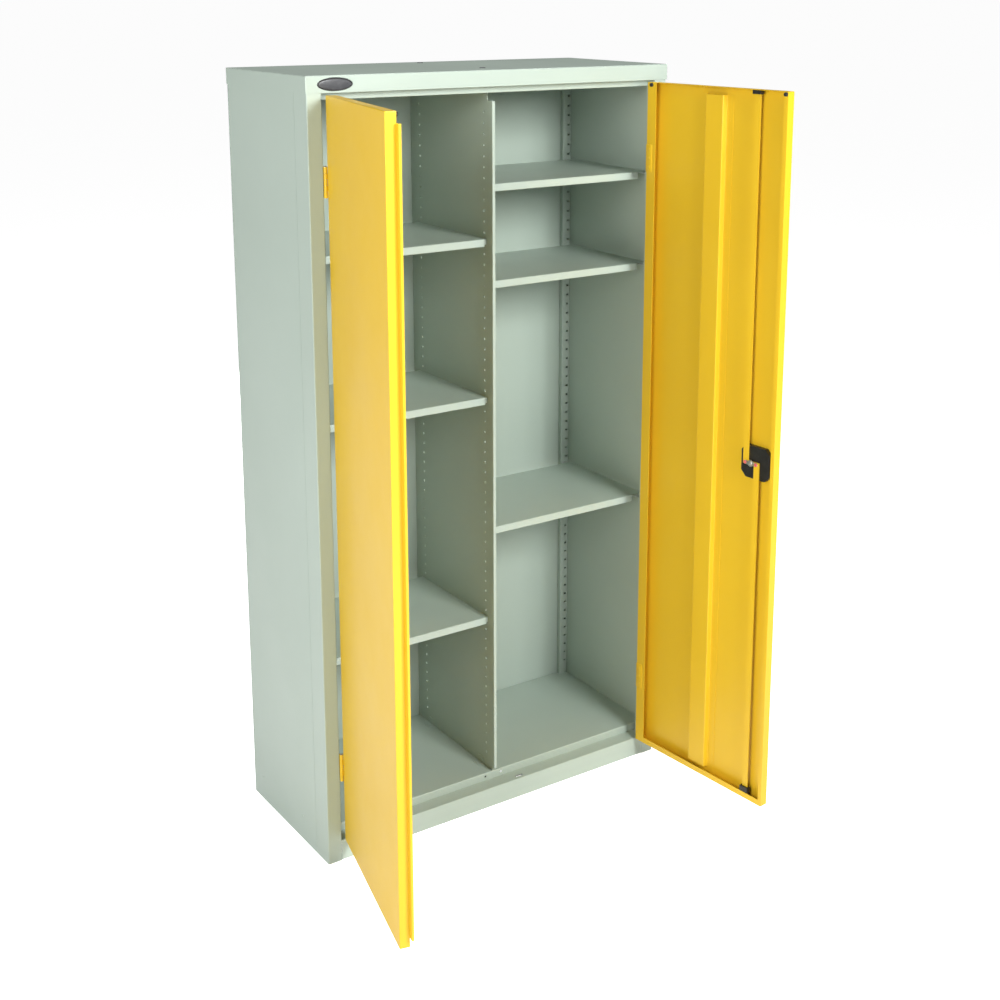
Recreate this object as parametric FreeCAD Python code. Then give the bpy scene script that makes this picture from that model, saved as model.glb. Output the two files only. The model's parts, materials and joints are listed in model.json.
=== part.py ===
import FreeCAD, Part
import math
import os

# Steel storage cupboard with two hinged doors, a full-height centre partition,
# six shelves and a three-point lock.  Millimetres; origin at the centre of the
# base, +X to the right, +Y to the back, +Z up.  Both doors are stored open.

V = FreeCAD.Vector

# ---- driving dimensions ------------------------------------------------------
WIDTH, DEPTH, HEIGHT = 950.0, 400.0, 1780.0
CAP_OVERHANG = 2.5           # cap beyond the body on every side
CAP_SKIRT = 36.0             # height of the cap's folded edge
SHEET = 1.2                  # body sheet
DOOR_SHEET = 1.0             # door sheet
BEND = 1.2                   # inside bend radius
POST_FACE = 34.5             # width of a front post
POST_DEPTH = 30.0            # depth of a front post's inner return
POST_LIP = 17.0              # closing lip at the back of a post
POST_SIDE = 59.0             # how far the post wraps along the side
UPRIGHT_W, UPRIGHT_D = 25.0, 14.0  # slotted upright folded on the back of a side panel
LEDGE_Z = 50.0               # top of the plinth ledge
FLOOR_Z = 70.0               # top of the floor tray
LIP_Y = -160.0               # front face of the floor tray's lip
HEAD_Z = 1743.0              # underside of the header ledge
BAND_Y, BAND_Z = -171.0, 1728.0  # front face and bottom edge of the header band
PARTITION_Y = -171.0         # front edge of the partition
PARTITION_EDGE = 8.0         # width of the partition's boxed front edge
HOLE_PITCH = 25.0            # shelf clip holes
HOLE_R = 2.5
HOLE_Z0, HOLE_COUNT = 108.0, 64
COLUMN_Y = (-130.0, 155.0)   # front and rear hole columns of the partition
SHELF_FRONT, SHELF_BACK = -142.0, 170.0
SHELF_LIP = 18.0
SHELVES = {"left": (1395.0, 1020.0, 470.0), "right": (1520.0, 1295.0, 695.0)}
DOOR_Z = (53.0, 1740.0)      # bottom and top edges of both doors
DOOR_EDGE = 433.0            # hinge-side edge, from the centre line, door closed
DOOR_GAP = 1.5               # half the gap between the closed doors
DOOR_DEPTH = {"left": 22.0, "right": 21.0}
LIPS = dict(hinge=28.0, free=10.0, bottom=14.0)
BUFFER_X = {"left": (-419.0, -6.5), "right": (419.0, 6.5)}
PIVOT_X, PIVOT_Y = 435.5, -201.0
OPEN_DEG = {"left": -103.0, "right": 95.0}
HINGE_Z = (233.0, 1561.0)    # hinge centres
KNUCKLE, KNUCKLE_R, PIN_R, PIN_CLEAR = 13.0, 4.0, 2.0, 0.05
LOCK_X, LOCK_Z = 76.0, 889.0  # turning centre of the lock, door closed
CRANK, TURN_DEG = 16.5, 60.0  # pin circle radius of the cam, turn of the grip
ROD_W, ROD_T, ROD_Y = 16.0, 2.5, -184.35

FRONT = -(DEPTH / 2 - CAP_OVERHANG)
BACK = -FRONT
SIDE = WIDTH / 2 - CAP_OVERHANG
POST_IN = SIDE - POST_FACE
TOP = HEIGHT - SHEET         # underside of the cap's plate

os.makedirs("parts", exist_ok=True)
NODES = {}


# ---- helpers -----------------------------------------------------------------
def box(x0, x1, y0, y1, z0, z1):
    return Part.makeBox(x1 - x0, y1 - y0, z1 - z0, V(x0, y0, z0))


def rod(x, y, z, radius, length, along=V(0, 0, 1)):
    return Part.makeCylinder(radius, length, V(x, y, z), along)


def fuse(shapes):
    first, rest = shapes[0], list(shapes[1:])
    if not rest:
        return first
    return first.multiFuse(rest).removeSplitter()


def cut(shape, tools):
    return shape.cut(Part.makeCompound(list(tools))) if tools else shape


def unit(v):
    return v.multiply(1.0 / v.Length)


def rounded_side(points, radii):
    """Edges of an open polyline with every inner corner rounded."""
    edges, start = [], points[0]
    for i in range(1, len(points) - 1):
        p, r = points[i], radii[i]
        a = unit(p.sub(points[i - 1]))
        b = unit(points[i + 1].sub(p))
        turn = math.acos(max(-1.0, min(1.0, a.dot(b))))
        if r < 1e-6 or turn < 1e-6:
            edges.append(Part.makeLine(start, p))
            start = p
            continue
        t = r * math.tan(turn / 2)
        q0 = p.sub(V(a).multiply(t))
        q1 = p.add(V(b).multiply(t))
        half = unit(V(b).sub(a))
        centre = p.add(V(half).multiply(r / math.cos(turn / 2)))
        mid = centre.sub(V(half).multiply(r))
        if start.distanceToPoint(q0) > 1e-6:
            edges.append(Part.makeLine(start, q0))
        edges.append(Part.Arc(q0, mid, q1).toShape())
        start = q1
    edges.append(Part.makeLine(start, points[-1]))
    return edges


def folded(path, thick, length, bend=BEND):
    """Bent sheet: path is one face, the metal lies to its left; extruded +Z."""
    pts = [V(x, y, 0) for x, y in path]
    dirs = [unit(pts[i + 1].sub(pts[i])) for i in range(len(pts) - 1)]
    norms = [V(-d.y, d.x, 0) for d in dirs]
    other, r_face, r_other = [], [0.0], [0.0]
    other.append(pts[0].add(V(norms[0]).multiply(thick)))
    for i in range(1, len(pts) - 1):
        n0, n1 = norms[i - 1], norms[i]
        k = thick / (1.0 + n0.dot(n1))
        other.append(pts[i].add(V(n0).add(n1).multiply(k)))
        left = dirs[i - 1].cross(dirs[i]).z > 0
        r_face.append(bend + thick if left else bend)
        r_other.append(bend if left else bend + thick)
    other.append(pts[-1].add(V(norms[-1]).multiply(thick)))
    r_face.append(0.0)
    r_other.append(0.0)
    edges = rounded_side(pts, r_face)
    edges.append(Part.makeLine(pts[-1], other[-1]))
    edges += rounded_side(other[::-1], r_other[::-1])
    edges.append(Part.makeLine(other[0], pts[0]))
    face = Part.Face(Part.Wire(Part.__sortEdges__(edges)))
    return face.extrude(V(0, 0, length))


def up(shape, z):
    shape.translate(V(0, 0, z))
    return shape


def along_x(shape, x0):
    """Turn a profile drawn in (Y, Z) and extruded +Z so that it runs along +X."""
    shape.rotate(V(0, 0, 0), V(1, 1, 1), 120)
    shape.translate(V(x0, 0, 0))
    return shape


def mirrored(shape):
    return shape.mirror(V(0, 0, 0), V(1, 0, 0))


def rounded_box(x0, x1, y0, y1, z0, z1, r, pick):
    """Box with the edges chosen by pick(edge) rounded."""
    b = box(x0, x1, y0, y1, z0, z1)
    chosen = [e for e in b.Edges if pick(e)]
    return b.makeFillet(r, chosen)


def plate(outline, y0, y1):
    """Flat plate from an (x, z) outline."""
    wire = Part.makePolygon([V(x, y0, z) for x, z in outline + outline[:1]])
    return Part.Face(wire).extrude(V(0, y1 - y0, 0))


def chamfered(x0, x1, z0, z1, c):
    return [(x0 + c, z0), (x1 - c, z0), (x1, z0 + c), (x1, z1 - c),
            (x1 - c, z1), (x0 + c, z1), (x0, z1 - c), (x0, z0 + c)]


def swing(shape, side):
    """Carry a shape drawn with its door closed to the stored, open position."""
    x = -PIVOT_X if side == "left" else PIVOT_X
    shape.rotate(V(x, PIVOT_Y, 0), V(0, 0, 1), OPEN_DEG[side])
    return shape


def save(name, shape):
    NODES[name] = shape
    shape.exportStep("parts/" + name + ".step")


# ---- body shell --------------------------------------------------------------
def top_cap():
    hx, hy = WIDTH / 2, DEPTH / 2

    def outer_edge(e):
        c = e.CenterOfMass
        return c.z > HEIGHT - 1 or abs(c.z - (HEIGHT - CAP_SKIRT / 2)) < 1

    outer = rounded_box(-hx, hx, -hy, hy, HEIGHT - CAP_SKIRT, HEIGHT, 2.4, outer_edge)
    s = SHEET
    inner = box(-hx + s, hx - s, -hy + s, hy - s, HEIGHT - CAP_SKIRT - 1, TOP)
    inner = inner.makeFillet(1.2, [e for e in inner.Edges if abs(e.CenterOfMass.x) > 400
                                   and abs(e.CenterOfMass.y) > 190 and e.Length > 20])
    plugs = [rod(x, y, TOP - 1, 4.0, 4) for x, y in PLUG_XY]
    return cut(outer.cut(inner), plugs)


PLUG_XY = ((0.0, 150.0), (0.0, -125.0))


def cap_plugs():
    out = []
    for x, y in PLUG_XY:
        head = Part.makeCylinder(7.0, 1.6, V(x, y, HEIGHT))
        head = head.makeFillet(1.0, [e for e in head.Edges if e.CenterOfMass.z > HEIGHT + 1])
        out.append(head.fuse(rod(x, y, HEIGHT - 4, 4.0, 4)).removeSplitter())
    return Part.makeCompound(out)


def front_post():
    path = [(-POST_IN - POST_LIP, FRONT + POST_DEPTH), (-POST_IN, FRONT + POST_DEPTH),
            (-POST_IN, FRONT), (-SIDE, FRONT), (-SIDE, FRONT + POST_SIDE)]
    return folded(path[::-1], SHEET, TOP)


def side_panel():
    """Side sheet, folded at the rear into a box-shaped upright with a row of slots."""
    xu, yu = -SIDE + UPRIGHT_W, BACK - UPRIGHT_D
    path = [(-SIDE + 1.6, yu), (xu, yu), (xu, BACK), (-SIDE, BACK), (-SIDE, FRONT + POST_SIDE + 0.8)]
    shape = folded(path, SHEET, TOP)
    xs = -SIDE + 9.0
    holes = [box(xs - 3.5, xs + 3.5, yu - 1, yu + SHEET + 1, z - 2.5, z + 2.5) for z in hole_heights()]
    low = [rod(-SIDE - 1, y, 60.0, 2.0, 4, V(1, 0, 0)) for y in (-68.0, 148.0)]
    return cut(shape, holes + low)


def hole_heights():
    return [HOLE_Z0 + i * HOLE_PITCH for i in range(HOLE_COUNT)]


def seam_strip():
    y = FRONT + POST_SIDE + 0.4
    return box(-SIDE + SHEET, -SIDE + 2 * SHEET, y - 12, y + 12, 90, 1700)


def back_panel():
    return box(-SIDE, SIDE, BACK, BACK + SHEET, 0, TOP)


def back_rivets():
    out = []
    for x in (-SIDE + 20.0, SIDE - 20.0):
        for i in range(8):
            z = 60.0 + i * 236.0
            head = Part.makeCylinder(3.2, 1.1, V(x, BACK + SHEET, z), V(0, 1, 0))
            top = [e for e in head.Edges if e.CenterOfMass.y > BACK + SHEET + 1]
            out.append(head.makeFillet(0.8, top))
    return Part.makeCompound(out)


def header_rail():
    path = [(-181.0, TOP), (FRONT, TOP), (FRONT, HEAD_Z), (BAND_Y, HEAD_Z),
            (BAND_Y, BAND_Z), (BAND_Y + 24, BAND_Z)]
    shape = along_x(folded(path, SHEET, 2 * POST_IN), -POST_IN)
    slot = keep_slot(LOCK_X + CRANK, HEAD_Z - 1, HEAD_Z + 3)
    return cut(shape, [slot])


def keep_slot(x, z0, z1):
    s = box(x - 10.5, x + 10.5, ROD_Y - 3.5, ROD_Y + 3.5, z0, z1)
    return s.makeFillet(3.0, [e for e in s.Edges if abs(e.tangentAt(e.FirstParameter).z) > 0.9])


def rod_keeps():
    out = []
    for x, z in ((LOCK_X + CRANK, HEAD_Z + SHEET), (LOCK_X - CRANK, LEDGE_Z - SHEET - 2.0)):
        frame = box(x - 18, x + 18, ROD_Y - 7.5, ROD_Y + 7.5, z, z + 2.0)
        out.append(frame.cut(keep_slot(x, z - 1, z + 3)))
    return Part.makeCompound(out)


def plinth():
    path = [(FRONT + 22, 0.0), (FRONT, 0.0), (FRONT, LEDGE_Z), (LIP_Y + 4, LEDGE_Z)]
    shape = along_x(folded(path[::-1], SHEET, 2 * POST_IN), -POST_IN)
    slot = keep_slot(LOCK_X - CRANK, LEDGE_Z - 3, LEDGE_Z + 1)
    return cut(shape, [slot])


def floor_tray():
    x = SIDE - SHEET
    yb = BACK - SHEET
    path = [(LIP_Y, LEDGE_Z), (LIP_Y, FLOOR_Z), (yb, FLOOR_Z), (yb, LEDGE_Z)]
    shape = along_x(folded(path[::-1], SHEET, 2 * x), -x)
    tools = [rod(hx, LIP_Y - 1, 61.0, 2.75, 4, V(0, 1, 0)) for hx in (-23.0, 23.0)]
    notch = box(SIDE - UPRIGHT_W - 0.5, SIDE, BACK - UPRIGHT_D - 0.5, BACK, LEDGE_Z - 1, FLOOR_Z + 1)
    return cut(shape, tools + [notch, mirrored(notch)])


def floor_channel():
    """Channel on the ground that carries the floor under the partition."""
    half, y0, length = 20.0, -150.0, 335.0
    path = [(-half, FLOOR_Z - SHEET), (-half, 0.0), (half, 0.0), (half, FLOOR_Z - SHEET)]
    shape = folded(path, SHEET, length)
    shape.rotate(V(0, 0, 0), V(1, 0, 0), 90)
    shape.translate(V(0, y0 + length, 0))
    return shape


def partition():
    e = PARTITION_EDGE / 2
    h = SHEET / 2
    yb = PARTITION_Y + 12.0
    web = box(-h, h, yb - SHEET, BACK, FLOOR_Z, 1709.0)
    web = web.fuse(box(-h, h, BAND_Y + 26, BACK, 1709.0, TOP - 3.3)).removeSplitter()
    path = [(-h, yb), (-e, yb), (-e, PARTITION_Y), (e, PARTITION_Y), (e, yb), (h, yb)]
    edge = up(folded(path, SHEET, 1709.0 - 82.0, 0.6), 82.0)
    tools = [rod(-2, y, z, HOLE_R, 4, V(1, 0, 0)) for y in COLUMN_Y for z in hole_heights()]
    notch = box(-h - 1, h + 1, yb - 3, yb + 1.0, FLOOR_Z - 1, 82.0)
    body = web.cut(notch).fuse(edge).removeSplitter()
    return cut(body, tools)


def partition_feet():
    out = []
    for side in (-1, 1):
        for y in (-118.0, 120.0):
            path = [(side * 0.6, FLOOR_Z + 16), (side * 0.6, FLOOR_Z), (side * 16.6, FLOOR_Z)]
            if side > 0:
                prof = folded(path, SHEET, 24.0)
            else:
                prof = folded(path[::-1], SHEET, 24.0)
            prof.rotate(V(0, 0, 0), V(1, 0, 0), 90)
            prof.translate(V(0, y + 24.0, 0))
            out.append(prof)
    return Part.makeCompound(out)


# ---- shelves and clips -------------------------------------------------------
def shelf(side, z):
    path = [(SHELF_FRONT + 9, z - SHELF_LIP), (SHELF_FRONT, z - SHELF_LIP), (SHELF_FRONT, z),
            (SHELF_BACK, z), (SHELF_BACK, z - 15.0)]
    x0, x1 = 2.0, SIDE - SHEET - 2.0
    shape = folded(path[::-1], SHEET, x1 - x0)
    shape = along_x(shape, x0)
    low = z - SHELF_LIP - 1
    under = z - SHEET
    notches = [box(x0 - 1, x0 + 5, SHELF_FRONT - 1, SHELF_FRONT + 12, low, low + 6),
               box(POST_IN - 1, x1 + 1, SHELF_FRONT - 1, SHELF_FRONT + 12, low, under),
               box(450.0, x1 + 1, SHELF_BACK - 3, SHELF_BACK + 1, low, under)]
    shape = cut(shape, notches)
    return mirrored(shape) if side == "left" else shape


def clip_partition(side, y, z):
    """V-shaped clip on the partition: gusset, tongue and hook below a shelf."""
    s = 1 if side == "right" else -1
    zt = z - SHEET
    h = SHEET / 2
    tri = Part.makePolygon([V(0, y - 10, zt), V(0, y + 10, zt), V(0, y, zt - 17), V(0, y - 10, zt)])
    gusset = Part.Face(tri).extrude(V(1.5, 0, 0))
    tongue = box(0, 13, y - 9, y + 9, zt - 1.5, zt)
    shape = gusset.fuse(tongue).removeSplitter()
    if s < 0:
        shape.rotate(V(0, y, 0), V(0, 0, 1), 180)
    shape.translate(V(s * h, 0, 0))
    return shape


def clip_post(side, z):
    """Angle clip on a front post's closing lip."""
    zt = z - SHEET
    y0 = FRONT + POST_DEPTH
    path = [(y0, zt - 16), (y0, zt), (SHELF_FRONT + 16, zt)]
    shape = along_x(folded(path[::-1], 1.5, 14.0), 439.0)
    return mirrored(shape) if side == "left" else shape


def clip_rear(side, z):
    """Angle clip on the front of a rear upright."""
    zt = z - SHEET
    y1 = BACK - UPRIGHT_D
    path = [(SHELF_BACK - 18, zt), (y1, zt), (y1, zt - 16)]
    shape = along_x(folded(path[::-1], 1.5, 14.0), 452.0)
    return mirrored(shape) if side == "left" else shape


# ---- hinges ------------------------------------------------------------------
def hinge_fixed(side):
    """Post leaf with three knuckles, for both hinges of one door."""
    out = []
    for zc in HINGE_Z:
        z0 = zc - 2.5 * KNUCKLE
        leaf = box(-POST_IN, -POST_IN + 1.5, FRONT + 1.0, FRONT + 22.0, z0, z0 + 5 * KNUCKLE)
        parts = [leaf]
        for i in (0, 2, 4):
            za = z0 + i * KNUCKLE + (0.0 if i == 0 else 0.2)
            zb = z0 + (i + 1) * KNUCKLE - (0.0 if i == 4 else 0.2)
            parts.append(rod(-PIVOT_X, PIVOT_Y, za, KNUCKLE_R, zb - za))
            parts.append(box(-POST_IN, -POST_IN + 1.5, PIVOT_Y, FRONT + 2.0, za, zb))
        shape = fuse(parts)
        shape = shape.cut(rod(-PIVOT_X, PIVOT_Y, z0 - 1, PIN_R + PIN_CLEAR, 5 * KNUCKLE + 2))
        out.append(shape if side == "left" else mirrored(shape))
    return Part.makeCompound(out)


def hinge_moving(side):
    """Door leaf with two knuckles, drawn with the door closed."""
    out = []
    depth = DOOR_DEPTH[side]
    for zc in HINGE_Z:
        z0 = zc - 2.5 * KNUCKLE
        x0, x1 = -DOOR_EDGE - 1.5, -DOOR_EDGE
        back = FRONT + depth
        parts = [box(x0, x1, FRONT + 1.0, back + 1.2, z0, z0 + 5 * KNUCKLE)]
        parts.append(box(x1, x1 + 18.0, back, back + 1.2, z0, z0 + 5 * KNUCKLE))
        for i in (1, 3):
            za = z0 + i * KNUCKLE + 0.2
            zb = z0 + (i + 1) * KNUCKLE - 0.2
            parts.append(rod(-PIVOT_X, PIVOT_Y, za, KNUCKLE_R, zb - za))
            parts.append(box(x0, x1, PIVOT_Y, FRONT + 2.0, za, zb))
        shape = fuse(parts)
        shape = shape.cut(rod(-PIVOT_X, PIVOT_Y, z0 - 1, PIN_R + PIN_CLEAR, 5 * KNUCKLE + 2))
        out.append(shape if side == "left" else mirrored(shape))
    return swing(Part.makeCompound(out), side)


def hinge_pins():
    out = []
    for x in (-PIVOT_X, PIVOT_X):
        for zc in HINGE_Z:
            z0 = zc - 2.5 * KNUCKLE
            pin = rod(x, PIVOT_Y, z0 - 0.5, PIN_R, 5 * KNUCKLE + 0.5)
            head = rod(x, PIVOT_Y, z0 + 5 * KNUCKLE, 3.2, 1.6)
            head = head.makeFillet(0.8, [e for e in head.Edges if e.CenterOfMass.z > zc + 33.5])
            out.append(pin.fuse(head).removeSplitter())
    return Part.makeCompound(out)


# ---- doors, drawn closed with the hinge on the left and then mirrored ---------
def door_pan(side):
    x0, x1 = -DOOR_EDGE, -DOOR_GAP
    z0, z1 = DOOR_Z
    y0, y1 = FRONT, FRONT + DOOR_DEPTH[side]
    s = DOOR_SHEET

    def front_or_corner(e):
        c = e.CenterOfMass
        return c.y < y0 + 0.1 or abs(c.y - (y0 + y1) / 2) < 0.5

    outer = rounded_box(x0, x1, y0, y1, z0, z1, 2.0, front_or_corner)
    inner = box(x0 + s, x1 - s, y0 + s, y1 - s, z0 + s, z1 - s)
    inner = inner.makeFillet(1.0, [e for e in inner.Edges if abs(e.CenterOfMass.y - (y0 + y1) / 2) < 0.5
                                   or e.CenterOfMass.y < y0 + s + 0.1])
    window = box(x0 + LIPS["hinge"], x1 - LIPS["free"], y1 - 2 * s, y1 + 1,
                 z0 + LIPS["bottom"], z1 - s)
    shape = outer.cut(inner).cut(window)
    if side == "left":
        return shape
    shape = mirrored(shape)
    tools = [lock_opening(y0 - 1, y0 + 3)]
    for x, z in ((LOCK_X + CRANK, z1 - 3), (LOCK_X - CRANK, z0 - 1)):
        tools.append(box(x - 9.5, x + 9.5, ROD_Y - 2.5, ROD_Y + 2.5, z, z + 4))
    return cut(shape, tools)


def stiffener(side):
    """Top-hat stiffener down the inside of a door."""
    y0 = FRONT + DOOR_SHEET
    xc = -DOOR_EDGE + 208.0
    w, f, h = 31.0, 18.0, 11.0
    path = [(xc - w - f, y0), (xc - w + 2, y0), (xc - w + 5, y0 + h), (xc + w - 5, y0 + h),
            (xc + w - 2, y0), (xc + w + f, y0)]
    shape = up(folded(path, DOOR_SHEET, DOOR_Z[1] - DOOR_Z[0] - 37.0), DOOR_Z[0] + 18.5)
    return shape if side == "left" else mirrored(shape)


def astragal():
    """Cover strip on the left door's free edge, behind the right door's edge."""
    y = FRONT + DOOR_DEPTH["left"]
    path = [(-DOOR_GAP - LIPS["free"] - 7.0, y), (12.0, y), (12.0, y + 5.0)]
    return up(folded(path, SHEET, 1718.0 - 75.0, 0.8), 75.0)


def buffers(side):
    """Rubber stops at the top of a door's side lips, which meet the header band."""
    out = []
    y = FRONT + DOOR_DEPTH[side]
    reach = BAND_Y - 0.5 - y
    for x in BUFFER_X[side]:
        b = rod(x, y, DOOR_Z[1] - 6.0, 4.5, reach, V(0, 1, 0))
        out.append(b.makeFillet(0.8, [e for e in b.Edges if e.CenterOfMass.y > y + reach - 0.1]))
    return Part.makeCompound(out)


# ---- lock on the right door, drawn closed ------------------------------------
HOUSE_X = (23.0, 109.0)
HOUSE_Z = (852.0, 930.0)
DISH_Y = FRONT + 9.0         # floor of the finger recess
HOUSE_Y = FRONT + 11.0       # inner face of the housing
HUB_R = 13.0
CAM_Y, CAM_T = HOUSE_Y + 3.9, 2.0


def lock_opening(y0, y1):
    x0, x1 = HOUSE_X
    z0, z1 = HOUSE_Z
    return plate(chamfered(x0, x1, z0, z1, 14.0), y0, y1)


def lock_housing():
    """Black recessed housing: flange on the outer face, dish through the skin."""
    x0, x1 = HOUSE_X
    z0, z1 = HOUSE_Z
    flange = plate(chamfered(x0 - 8, x1 + 8, z0 - 8, z1 + 8, 17.0), FRONT - 2.0, FRONT)
    flange = flange.makeFillet(1.2, [e for e in flange.Edges
                                     if e.CenterOfMass.y < FRONT - 1.99])
    tub = plate(chamfered(x0, x1, z0, z1, 14.0), FRONT - 0.5, HOUSE_Y)
    dish = plate(chamfered(x0 + 2.5, x1 - 2.5, z0 + 2.5, z1 - 2.5, 13.0), FRONT - 3.0, DISH_Y)
    boss = rod(LOCK_X, HOUSE_Y, LOCK_Z, 9.0, 0.6, V(0, 1, 0))
    bore = rod(LOCK_X, FRONT, LOCK_Z, 6.05, 20.0, V(0, 1, 0))
    return flange.fuse(tub).removeSplitter().cut(dish).fuse(boss).removeSplitter().cut(bore)


def lock_screws():
    out = []
    for x, z in ((HOUSE_X[0] - 2.5, LOCK_Z + 2), (HOUSE_X[1] + 2.5, LOCK_Z + 2)):
        head = rod(x, FRONT - 2.0, z, 3.0, 1.2, V(0, -1, 0))
        head = head.makeFillet(0.7, [e for e in head.Edges if e.CenterOfMass.y < FRONT - 3.0])
        cross = [box(x - 1.8, x + 1.8, FRONT - 3.3, FRONT - 2.5, z - 0.35, z + 0.35),
                 box(x - 0.35, x + 0.35, FRONT - 3.3, FRONT - 2.5, z - 1.8, z + 1.8)]
        out.append(cut(head, cross))
    return Part.makeCompound(out)


def handle_grip():
    """T-shaped turning grip in the dish, with the spindle behind it."""
    y0, y1 = FRONT - 8.0, FRONT + 3.0
    hub = rod(LOCK_X, y0, LOCK_Z, HUB_R, DISH_Y - 0.5 - y0, V(0, 1, 0))
    bar = box(LOCK_X - 20.0, LOCK_X + 20.0, y0, y1, LOCK_Z - 6.5, LOCK_Z + 6.5)
    ends = [rod(LOCK_X + s * 20.0, y0, LOCK_Z, 6.5, y1 - y0, V(0, 1, 0)) for s in (-1, 1)]
    shape = fuse([hub, bar] + ends)
    shape = shape.makeFillet(2.0, [e for e in shape.Edges if e.CenterOfMass.y < y0 + 0.01])
    spindle = rod(LOCK_X, DISH_Y - 1.0, LOCK_Z, 6.0, HOUSE_Y + 0.6 - (DISH_Y - 1.0), V(0, 1, 0))
    nose = rod(LOCK_X, HOUSE_Y, LOCK_Z, 3.0, CAM_Y - HOUSE_Y, V(0, 1, 0))
    shape = fuse([shape, spindle, nose])
    well = rod(LOCK_X, y0 - 1.0, LOCK_Z, 7.55, 11.0, V(0, 1, 0))
    return shape.cut(well)


def key_barrel():
    """Lock cylinder with a blank keyway, seated in the hub."""
    y0 = FRONT - 8.6
    body = rod(LOCK_X, y0, LOCK_Z, 7.5, 10.6, V(0, 1, 0))
    body = body.makeFillet(0.5, [e for e in body.Edges if e.CenterOfMass.y < y0 + 0.1])
    way = box(LOCK_X - 0.6, LOCK_X + 0.6, y0 - 1, y0 + 6.0, LOCK_Z - 3.8, LOCK_Z + 3.8)
    return body.cut(way)


def cam():
    """Two-armed cam on the spindle, on the inner side of the rods, with its pins."""
    hub = rod(LOCK_X, CAM_Y, LOCK_Z, 8.0, CAM_T, V(0, 1, 0))
    arm = box(LOCK_X - CRANK, LOCK_X + CRANK, CAM_Y, CAM_Y + CAM_T, LOCK_Z - 4.5, LOCK_Z + 4.5)
    ends = [rod(LOCK_X + s * CRANK, CAM_Y, LOCK_Z, 4.5, CAM_T, V(0, 1, 0)) for s in (-1, 1)]
    back = ROD_Y - ROD_T / 2 + 0.2
    stems = [rod(LOCK_X + s * CRANK, back, LOCK_Z, 2.0, CAM_Y + 0.5 - back, V(0, 1, 0))
             for s in (-1, 1)]
    return fuse([hub, arm] + ends + stems)


def cam_nut():
    y = CAM_Y + CAM_T
    pts = [(LOCK_X + 5.2 * math.cos(math.radians(a)), LOCK_Z + 5.2 * math.sin(math.radians(a)))
           for a in range(0, 360, 60)]
    return plate(pts, y, y + 2.4)


def cam_pins():
    """Coloured heads of the two cam pins."""
    y = CAM_Y + CAM_T
    return Part.makeCompound([rod(LOCK_X + s * CRANK, y, LOCK_Z, 4.2, 1.3, V(0, 1, 0))
                              for s in (-1, 1)])


def lock_rod(up_side):
    """Flat locking rod with a window for the cam pin at its inner end."""
    s = 1 if up_side else -1
    x = LOCK_X + s * CRANK
    near = LOCK_Z - s * 4.6
    far = DOOR_Z[1] - 2.5 if up_side else DOOR_Z[0] + 2.5
    y0, y1 = ROD_Y - ROD_T / 2, ROD_Y + ROD_T / 2

    def slab(xa, xb, za, zb, ya=y0, yb=y1):
        return box(min(xa, xb), max(xa, xb), ya, yb, min(za, zb), max(za, zb))

    bar = slab(x - ROD_W / 2, x + ROD_W / 2, near, far)
    tip = [e for e in bar.Edges if abs(e.CenterOfMass.z - far) < 0.1
           and abs(abs(e.CenterOfMass.x - x) - ROD_W / 2) < 0.1]
    bar = bar.makeChamfer(3.0, tip)
    foot = slab(LOCK_X + s * 3.7, x + s * ROD_W / 2, near, LOCK_Z + s * 6.0)
    end_x = LOCK_X + s * CRANK * math.cos(math.radians(TURN_DEG))
    window = slab(end_x - s * 2.35, x + s * 2.35, LOCK_Z - s * 2.35, LOCK_Z + s * 3.6, y0 - 1, y1 + 1)
    return bar.fuse(foot).removeSplitter().cut(window)


def rod_guides():
    """Black guides where the rods leave the door at top and bottom."""
    out = []
    for s, z, tall in ((1, DOOR_Z[1] - DOOR_SHEET - 9.0, 9.0), (-1, DOOR_Z[0] + DOOR_SHEET, 26.0)):
        x = LOCK_X + s * CRANK
        block = box(x - 12, x + 12, ROD_Y - 4.5, FRONT + DOOR_DEPTH["right"] - DOOR_SHEET, z, z + tall)
        slot = box(x - ROD_W / 2 - 0.6, x + ROD_W / 2 + 0.6, ROD_Y - ROD_T / 2 - 0.6,
                   ROD_Y + ROD_T / 2 + 0.6, z - 1, z + tall + 1)
        out.append(block.cut(slot))
    return Part.makeCompound(out)


# ---- badge -------------------------------------------------------------------
BADGE_X, BADGE_Z = -408.0, 1761.5


def ellipse(a, b, y0, y1):
    e = Part.Ellipse(V(BADGE_X, y0, BADGE_Z), a, b).toShape()
    face = Part.Face(Part.Wire([e]))
    face.rotate(V(BADGE_X, y0, BADGE_Z), V(1, 0, 0), 90)
    return face.extrude(V(0, y1 - y0, 0))


def badge_rim():
    y = -DEPTH / 2
    return ellipse(41.0, 14.0, y - 1.2, y).cut(ellipse(37.5, 11.0, y - 2.0, y - 0.5))


def badge_field():
    y = -DEPTH / 2
    return ellipse(37.3, 10.8, y - 0.9, y - 0.5)


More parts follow.
